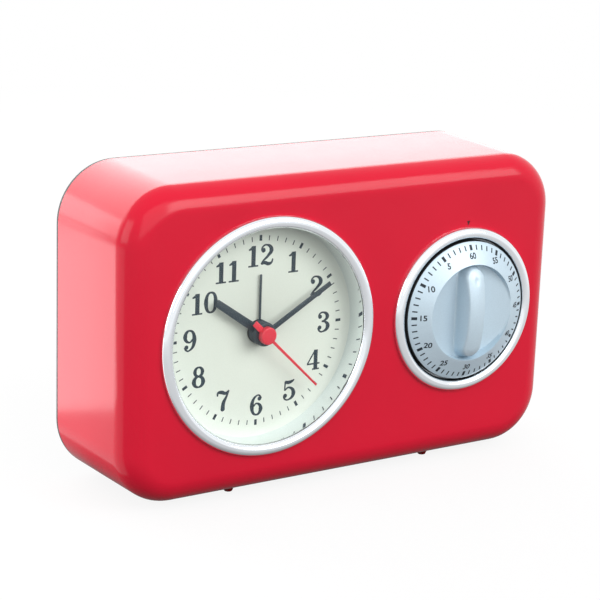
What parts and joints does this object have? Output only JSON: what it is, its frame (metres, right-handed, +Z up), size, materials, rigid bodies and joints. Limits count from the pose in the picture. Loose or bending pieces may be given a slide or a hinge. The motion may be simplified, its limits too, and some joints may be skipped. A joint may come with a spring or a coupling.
{
  "type": "kitchen clock",
  "caption": "Rounded red steel kitchen clock with an alarm dial under glass and a clockwork timer knob beside it, each in a chrome ring.",
  "frame": {"origin": "on the table under the middle of the object's box, at the feet's undersides", "axes": "+X to the right as seen from the front, +Y to the back, +Z up"},
  "size_m": [0.17, 0.0632, 0.1075],
  "materials": {
    "red_enamel": "glossy stoved enamel on pressed steel",
    "black_plastic": "fine moulded texture",
    "rubber": "dull moulded rubber",
    "chrome": "bright plating",
    "lens": "clear flat glass",
    "dial": "pale printed lacquer",
    "hand_slate": "satin lacquer",
    "hand_red": "satin lacquer",
    "steel": "bright steel",
    "brass": "plain turned brass",
    "acetal": "natural moulded acetal",
    "cell_can": "printed sleeve on a metal can",
    "circuit": "lacquered board",
    "lead_red": "soft sleeve",
    "knob_silver": "satin metallic pale blue"
  },
  "bodies": {
    "case": {"case_shell": "red_enamel", "back_cover": "black_plastic", "dial_pan": "black_plastic", "movement_front": "black_plastic", "middle_plate": "black_plastic", "movement_rear": "black_plastic", "timer_clamp_ring": "black_plastic", "rubber_feet": "rubber", "clock_bezel": "chrome", "timer_bezel": "chrome", "clock_lens": "lens", "clock_dial": "dial", "cover_posts": "steel", "cover_screws": "steel", "pan_nuts": "steel", "pan_screws": "steel", "movement_screws": "steel", "stator": "steel", "quartz_crystal": "steel", "alarm_switch_body": "steel", "battery_contact_plus": "steel", "battery_contact_minus": "steel", "timer_front_plate": "steel", "timer_rear_plate": "steel", "timer_nuts": "steel", "mainspring": "steel", "bell_post": "steel", "timer_pillars": "brass", "bell": "brass", "buzzer": "brass", "drive_coil": "brass", "battery_cell": "cell_can", "circuit_board": "circuit", "battery_leads": "lead_red"},
    "second_hand": {"second_hand": "hand_red", "second_wheel": "acetal"},
    "third_wheel": {"third_wheel": "acetal"},
    "centre_wheel": {"centre_wheel": "acetal"},
    "fifth_wheel": {"fifth_wheel": "acetal"},
    "rotor": {"rotor": "steel"},
    "minute_hand": {"minute_hand": "hand_slate", "cannon_pinion": "brass"},
    "time_set": {"intermediate_wheel": "acetal", "time_set_knob": "black_plastic"},
    "hour_hand": {"hour_hand": "hand_slate", "hour_wheel": "acetal"},
    "alarm_hand": {"alarm_hand": "hand_slate", "alarm_wheel": "acetal"},
    "alarm_set": {"alarm_set_pinion": "acetal", "alarm_set_knob": "black_plastic"},
    "alarm_switch": {"alarm_switch_slider": "black_plastic"},
    "battery_door": {"battery_door": "black_plastic"},
    "timer_knob": {"timer_knob": "knob_silver", "timer_arbor": "steel"},
    "timer_main_wheel": {"timer_main_wheel": "acetal"},
    "timer_second_wheel": {"timer_second_wheel": "acetal"},
    "timer_third_wheel": {"timer_third_wheel": "acetal"},
    "timer_escape_wheel": {"timer_escape_wheel": "brass"},
    "timer_balance": {"timer_balance": "steel"},
    "bell_hammer": {"bell_hammer": "steel"}
  },
  "joints": [
    {"name": "second_spin", "type": "hinge", "parent": "case", "child": "second_hand", "pos_m": [-0.032, -0.00245, 0.055], "axis": [0, 1, 0], "continuous": true},
    {"name": "third_spin", "type": "hinge", "parent": "case", "child": "third_wheel", "pos_m": [-0.0392, -0.00245, 0.055], "axis": [0, 1, 0], "continuous": true},
    {"name": "centre_spin", "type": "hinge", "parent": "case", "child": "centre_wheel", "pos_m": [-0.032, -0.00345, 0.055], "axis": [0, 1, 0], "continuous": true},
    {"name": "fifth_spin", "type": "hinge", "parent": "case", "child": "fifth_wheel", "pos_m": [-0.03451, 0.00055, 0.04809], "axis": [0, 1, 0], "continuous": true},
    {"name": "rotor_spin", "type": "hinge", "parent": "case", "child": "rotor", "pos_m": [-0.04043, 0.00255, 0.04594], "axis": [0, 1, 0], "continuous": true},
    {"name": "minute_spin", "type": "hinge", "parent": "case", "child": "minute_hand", "pos_m": [-0.032, -0.00645, 0.055], "axis": [0, 1, 0], "continuous": true},
    {"name": "time_set_spin", "type": "hinge", "parent": "case", "child": "time_set", "pos_m": [-0.0278, 0.01755, 0.06227], "axis": [0, 1, 0], "continuous": true},
    {"name": "hour_spin", "type": "hinge", "parent": "case", "child": "hour_hand", "pos_m": [-0.032, -0.00845, 0.055], "axis": [0, 1, 0], "continuous": true},
    {"name": "alarm_spin", "type": "hinge", "parent": "case", "child": "alarm_hand", "pos_m": [-0.032, -0.00945, 0.055], "axis": [0, 1, 0], "continuous": true},
    {"name": "alarm_set_spin", "type": "hinge", "parent": "case", "child": "alarm_set", "pos_m": [-0.0275, 0.01755, 0.04721], "axis": [0, 1, 0], "continuous": true},
    {"name": "alarm_switch_slide", "type": "slide", "parent": "case", "child": "alarm_switch", "axis": [0, 0, 1], "range_m": [0, 0.004]},
    {"name": "battery_door_slide", "type": "slide", "parent": "case", "child": "battery_door", "axis": [1, 0, 0], "range_m": [0, 0.005]},
    {"name": "timer_knob_turn", "type": "hinge", "parent": "case", "child": "timer_knob", "pos_m": [0.0455, -0.02245, 0.055], "axis": [0, 1, 0], "range_deg": [0, 355]},
    {"name": "timer_main_spin", "type": "hinge", "parent": "case", "child": "timer_main_wheel", "pos_m": [0.0455, -0.00945, 0.055], "axis": [0, 1, 0], "continuous": true},
    {"name": "timer_second_spin", "type": "hinge", "parent": "case", "child": "timer_second_wheel", "pos_m": [0.03394, -0.00745, 0.05079], "axis": [0, 1, 0], "continuous": true},
    {"name": "timer_third_spin", "type": "hinge", "parent": "case", "child": "timer_third_wheel", "pos_m": [0.03729, -0.00545, 0.04158], "axis": [0, 1, 0], "continuous": true},
    {"name": "timer_escape_spin", "type": "hinge", "parent": "case", "child": "timer_escape_wheel", "pos_m": [0.04468, -0.00345, 0.04289], "axis": [0, 1, 0], "continuous": true},
    {"name": "timer_balance_swing", "type": "hinge", "parent": "case", "child": "timer_balance", "pos_m": [0.05368, -0.00345, 0.04289], "axis": [0, 1, 0], "range_deg": [-6, 6]},
    {"name": "bell_hammer_swing", "type": "hinge", "parent": "case", "child": "bell_hammer", "pos_m": [0.05015, 0.00455, 0.06778], "axis": [0, 1, 0], "range_deg": [-10, 0]}
  ],
  "couplings": [
    {"joint": "third_spin", "follows": "second_spin", "ratio": -0.13333},
    {"joint": "centre_spin", "follows": "second_spin", "ratio": 0.016667},
    {"joint": "fifth_spin", "follows": "second_spin", "ratio": -6},
    {"joint": "rotor_spin", "follows": "second_spin", "ratio": 30},
    {"joint": "time_set_spin", "follows": "minute_spin", "ratio": -0.33333},
    {"joint": "hour_spin", "follows": "minute_spin", "ratio": 0.083333},
    {"joint": "alarm_set_spin", "follows": "alarm_spin", "ratio": -2},
    {"joint": "timer_second_spin", "follows": "timer_third_spin", "ratio": -0.16667},
    {"joint": "timer_main_spin", "follows": "timer_third_spin", "ratio": 0.023148},
    {"joint": "timer_escape_spin", "follows": "timer_third_spin", "ratio": -5}
  ]
}
